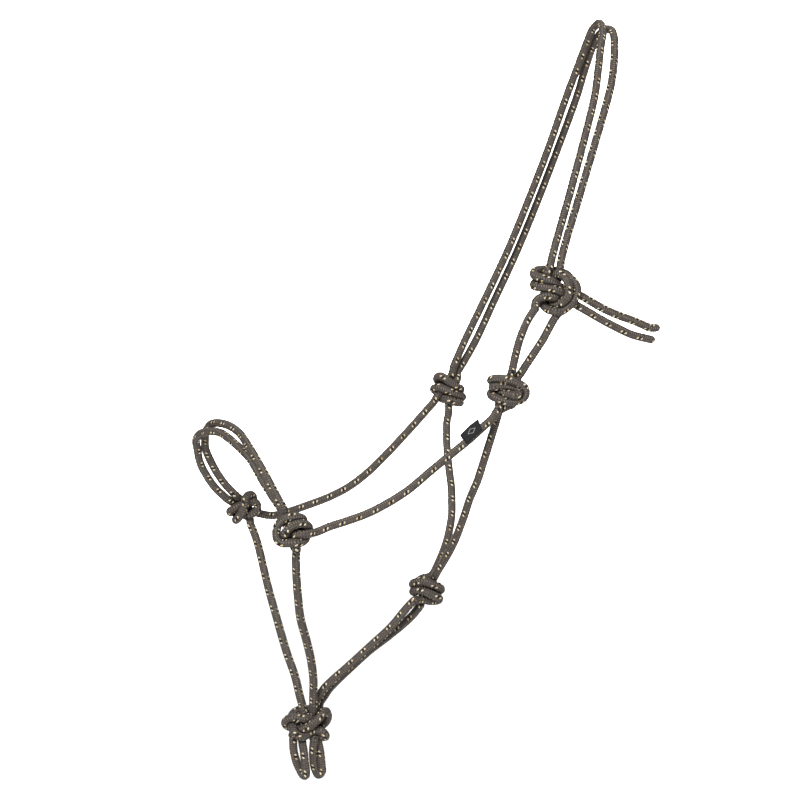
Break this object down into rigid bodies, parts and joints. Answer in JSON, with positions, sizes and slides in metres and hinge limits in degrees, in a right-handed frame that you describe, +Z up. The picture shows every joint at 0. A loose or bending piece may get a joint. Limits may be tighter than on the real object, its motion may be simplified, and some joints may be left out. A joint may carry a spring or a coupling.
{
  "type": "rope halter",
  "caption": "Hand-tied rope horse halter: doubled noseband and crown over a horse's head, knotted at nose, cheeks, throat and chin, with lead loops under the chin and a tied crown.",
  "frame": {"origin": "point on the horse's poll that the crown lies over, midway between the two sides", "axes": "+X back towards the horse's neck, with the nose along -X; +Y towards the horse's off (right) side; +Z up"},
  "size_m": [0.3404, 0.1883, 0.598],
  "materials": {
    "braided_rope": "braided polyester rope, grey brown with yellow and black flecks",
    "woven_label": "fine black woven ribbon"
  },
  "bodies": {
    "crownpiece": {"front_crown_strand": "braided_rope", "rear_crown_strand": "braided_rope", "front_tie_strand": "braided_rope", "rear_tie_strand": "braided_rope", "crown_tie_knot": "braided_rope", "near_cheek_knot": "braided_rope", "off_cheek_knot": "braided_rope"},
    "face_frame": {"near_cheek_strand": "braided_rope", "off_cheek_strand": "braided_rope", "near_throat_strand": "braided_rope", "off_throat_strand": "braided_rope", "near_chin_strand": "braided_rope", "off_chin_strand": "braided_rope", "front_jaw_strand": "braided_rope", "rear_jaw_strand": "braided_rope", "near_nose_knot": "braided_rope", "off_nose_knot": "braided_rope", "throat_knot": "braided_rope", "fiador_knot": "braided_rope", "sewn_label": "woven_label"},
    "noseband": {"front_noseband_strand": "braided_rope", "rear_noseband_strand": "braided_rope"},
    "front_loop": {"front_lead_loop": "braided_rope"},
    "rear_loop": {"rear_lead_loop": "braided_rope"},
    "upper_tail": {"upper_crown_tail": "braided_rope"},
    "lower_tail": {"lower_crown_tail": "braided_rope"}
  },
  "joints": [
    {"name": "face_frame_swing", "type": "hinge", "parent": "crownpiece", "child": "face_frame", "pos_m": [-0.108, -0.08, -0.285], "axis": [0.0374, 0.9986, -0.0374], "range_deg": [-20, 25], "stiffness_Nm_per_rad": 2},
    {"name": "noseband_swing", "type": "hinge", "parent": "face_frame", "child": "noseband", "pos_m": [-0.276, -0.063, -0.386], "axis": [-0.0396, 0.9991, 0.0159], "range_deg": [-30, 30], "stiffness_Nm_per_rad": 0.2},
    {"name": "front_loop_swing", "type": "hinge", "parent": "face_frame", "child": "front_loop", "pos_m": [-0.245, 0, -0.547], "axis": [1, 0, 0], "range_deg": [-40, 40]},
    {"name": "rear_loop_swing", "type": "hinge", "parent": "face_frame", "child": "rear_loop", "pos_m": [-0.245, 0, -0.547], "axis": [1, 0, 0], "range_deg": [-40, 40]},
    {"name": "upper_tail_swing", "type": "hinge", "parent": "crownpiece", "child": "upper_tail", "pos_m": [-0.069, -0.082, -0.211], "axis": [0.3401, 0, 0.9404], "range_deg": [-35, 35], "stiffness_Nm_per_rad": 0.02},
    {"name": "lower_tail_swing", "type": "hinge", "parent": "crownpiece", "child": "lower_tail", "pos_m": [-0.069, -0.082, -0.211], "axis": [0.3401, 0, 0.9404], "range_deg": [-35, 35], "stiffness_Nm_per_rad": 0.02}
  ]
}
